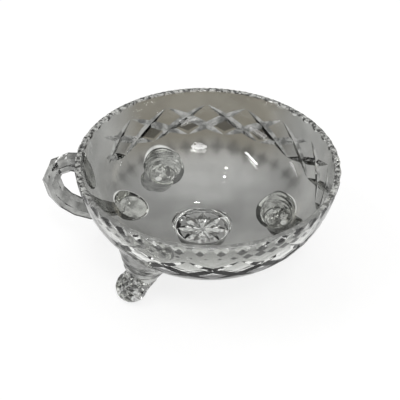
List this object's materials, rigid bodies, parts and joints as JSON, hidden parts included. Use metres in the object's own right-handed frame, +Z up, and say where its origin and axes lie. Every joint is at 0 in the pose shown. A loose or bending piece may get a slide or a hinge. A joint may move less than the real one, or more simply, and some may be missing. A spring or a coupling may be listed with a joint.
{
  "type": "footed crystal bowl",
  "caption": "Round cut-crystal bowl with a diamond lattice and a starred base, one applied loop handle and short leaning ball feet.",
  "frame": {"origin": "middle of the footprint on the table, under the whole object's box. The bowl's own axis stands 11.4 mm towards +X of it, because the handle reaches out on the other side", "axes": "+Z up, +X from the handle across the bowl, +Y away from the viewer"},
  "size_m": [0.1826, 0.1596, 0.0776],
  "materials": {
    "cut_crystal": "polished and cut",
    "handle_crystal": "fire-polished, panel-cut",
    "foot_crystal": "fire-polished, star-cut"
  },
  "bodies": {
    "root": {"bowl": "cut_crystal", "handle": "handle_crystal", "foot_right": "foot_crystal", "foot_back_left": "foot_crystal", "foot_front_left": "foot_crystal"}
  },
  "joints": []
}
